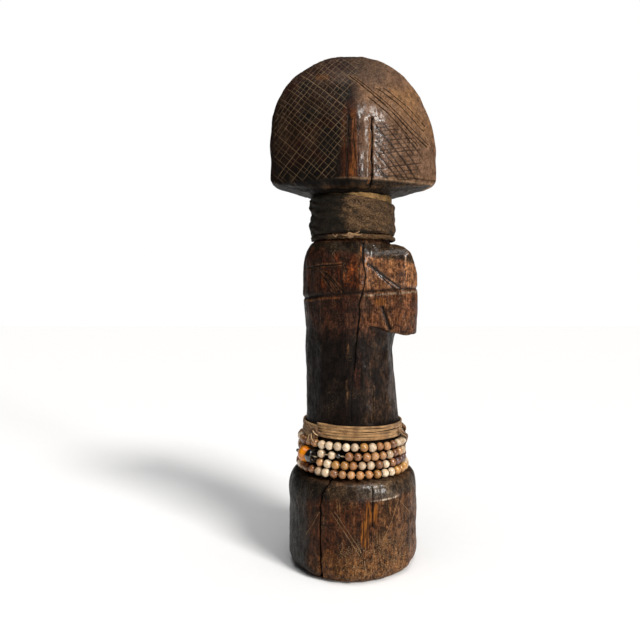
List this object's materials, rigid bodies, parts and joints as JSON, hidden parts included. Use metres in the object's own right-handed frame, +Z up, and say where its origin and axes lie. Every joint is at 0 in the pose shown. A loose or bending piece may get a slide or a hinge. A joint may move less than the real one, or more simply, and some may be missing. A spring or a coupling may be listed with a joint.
{
  "type": "fertility doll",
  "caption": "Carved wooden standing figure with a D-shaped head, a hide collar on its neck and a girdle of bead rows and wound cord that turns round its waist.",
  "frame": {"origin": "centre of the round foot, on the surface the figure stands on", "axes": "+X is the way the figure faces, +Y is to its left, +Z is up"},
  "size_m": [0.0788, 0.0612, 0.2392],
  "materials": {
    "carved_wood": "hand-rubbed dark patina",
    "dark_hide": "worn, grainy",
    "pale_hide": "raw",
    "bast_cord": "twisted plant fibre",
    "pale_thread": "twisted",
    "cream_bead": "polished",
    "tan_bead": "polished",
    "honey_bead": "polished",
    "orange_bead": "polished",
    "brown_bead": "polished",
    "dark_bead": "polished",
    "black_bead": "polished",
    "amber": "polished, waxy"
  },
  "bodies": {
    "figure": {"wood_figure": "carved_wood", "neck_lining_strip": "pale_hide", "neck_hide_wrap": "dark_hide", "neck_thong": "dark_hide", "neck_thong_knot": "pale_hide"},
    "girdle": {"waist_cord": "bast_cord", "waist_cord_knot": "bast_cord", "girdle_tie": "bast_cord", "top_row_thread": "pale_thread", "second_row_thread": "pale_thread", "third_row_thread": "pale_thread", "bottom_row_thread": "pale_thread", "cream_beads": "cream_bead", "tan_beads": "tan_bead", "honey_beads": "honey_bead", "orange_beads": "orange_bead", "brown_beads": "brown_bead", "dark_beads": "dark_bead", "black_spacer_bead": "black_bead", "charm_thread": "pale_thread", "seed_bead": "black_bead"},
    "amber_bead": {"amber_bead": "amber"},
    "black_disc_bead": {"black_disc_bead": "black_bead"}
  },
  "joints": [
    {"name": "girdle_turn", "type": "hinge", "parent": "figure", "child": "girdle", "pos_m": [0, 0, 0.056], "axis": [0, 0, 1], "continuous": true},
    {"name": "amber_spin", "type": "hinge", "parent": "girdle", "child": "amber_bead", "pos_m": [-0.02149, -0.01533, 0.0534], "axis": [0.5806, -0.814, -0.0162], "continuous": true},
    {"name": "disc_spin", "type": "hinge", "parent": "girdle", "child": "black_disc_bead", "pos_m": [-0.0185, -0.01883, 0.05332], "axis": [0.7131, -0.7008, -0.0199], "continuous": true}
  ]
}
